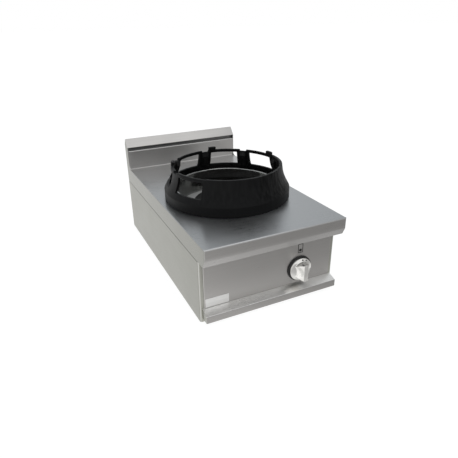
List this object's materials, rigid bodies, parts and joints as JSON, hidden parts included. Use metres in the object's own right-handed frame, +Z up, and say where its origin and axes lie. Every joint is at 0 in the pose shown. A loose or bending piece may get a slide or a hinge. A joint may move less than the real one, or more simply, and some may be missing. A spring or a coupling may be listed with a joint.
{
  "type": "gas wok burner",
  "caption": "Counter-top gas wok burner: brushed steel casing with a backsplash flue, black cast ring with side windows over a spill well, and a push-and-turn control knob.",
  "frame": {"origin": "middle of the footprint, on the surface that the burner stands on", "axes": "+X to the right seen from the front, +Y from the control panel to the backsplash, +Z up"},
  "size_m": [0.4, 0.7, 0.327],
  "materials": {
    "worktop_steel": "fine satin brushed stainless steel",
    "panel_steel": "fine satin brushed stainless steel",
    "plate_steel": "plain satin plate",
    "inner_steel": "galvanised sheet",
    "well_steel": "brushed stainless steel",
    "ring_iron": "satin black enamel on cast iron",
    "burner_iron": "raw cast iron, darkened by heat",
    "bezel_black": "matt black",
    "knob_chrome": "satin chrome",
    "brass": "machined brass",
    "bright_steel": "zinc plated",
    "tube_metal": "drawn tube",
    "lead_copper": "bare copper lead"
  },
  "bodies": {
    "root": {"worktop": "worktop_steel", "side_panel_left": "panel_steel", "side_panel_right": "panel_steel", "control_panel": "panel_steel", "front_ledge": "panel_steel", "flue_cap": "panel_steel", "flue_baffle": "panel_steel", "back_panel": "panel_steel", "name_plate": "plate_steel", "base_plate": "inner_steel", "valve_bracket": "inner_steel", "injector_bracket": "inner_steel", "burner_bracket_left": "inner_steel", "burner_bracket_right": "inner_steel", "well_collar": "well_steel", "well_liner": "well_steel", "spill_bowl": "well_steel", "burner_body": "burner_iron", "knob_bezel": "bezel_black", "valve_body": "brass", "valve_bonnet": "brass", "lead_nut": "brass", "pilot_burner": "brass", "supply_nut": "brass", "gas_inlet": "brass", "feed_nuts": "brass", "injector_holder": "brass", "injector": "brass", "return_spring": "bright_steel", "bonnet_screws": "bright_steel", "magnet_unit": "bright_steel", "inlet_locknut": "bright_steel", "burner_bolts": "bright_steel", "base_screws": "bright_steel", "rear_screws": "bright_steel", "thermocouple": "bright_steel", "supply_pipe": "tube_metal", "feed_tube": "tube_metal", "pilot_tube": "tube_metal", "thermocouple_lead": "lead_copper"},
    "ring": {"wok_ring": "ring_iron"},
    "crown": {"burner_crown": "burner_iron"},
    "shutter": {"air_shutter": "bright_steel"},
    "rod": {"push_rod": "bright_steel"},
    "knob": {"knob": "knob_chrome", "spindle": "brass"},
    "plug": {"valve_plug": "brass"}
  },
  "joints": [
    {"name": "ring_lift", "type": "slide", "parent": "root", "child": "ring", "axis": [0, 0, 1], "range_m": [0, 0.25]},
    {"name": "crown_lift", "type": "slide", "parent": "root", "child": "crown", "axis": [0, 0, 1], "range_m": [0, 0.2]},
    {"name": "air_slide", "type": "slide", "parent": "root", "child": "shutter", "axis": [0, -1, 0], "range_m": [0, 0.012]},
    {"name": "knob_push", "type": "slide", "parent": "root", "child": "rod", "axis": [0, 1, 0], "range_m": [0, 0.004], "stiffness_N_per_m": 800, "deforming": ["return_spring"]},
    {"name": "knob_turn", "type": "hinge", "parent": "rod", "child": "knob", "pos_m": [0.089, -0.3095, 0.084], "axis": [0, -1, 0], "range_deg": [0, 190]},
    {"name": "plug_turn", "type": "hinge", "parent": "root", "child": "plug", "pos_m": [0.089, -0.3095, 0.084], "axis": [0, -1, 0], "range_deg": [0, 190]}
  ],
  "couplings": [
    {"joint": "plug_turn", "follows": "knob_turn", "ratio": 1}
  ]
}
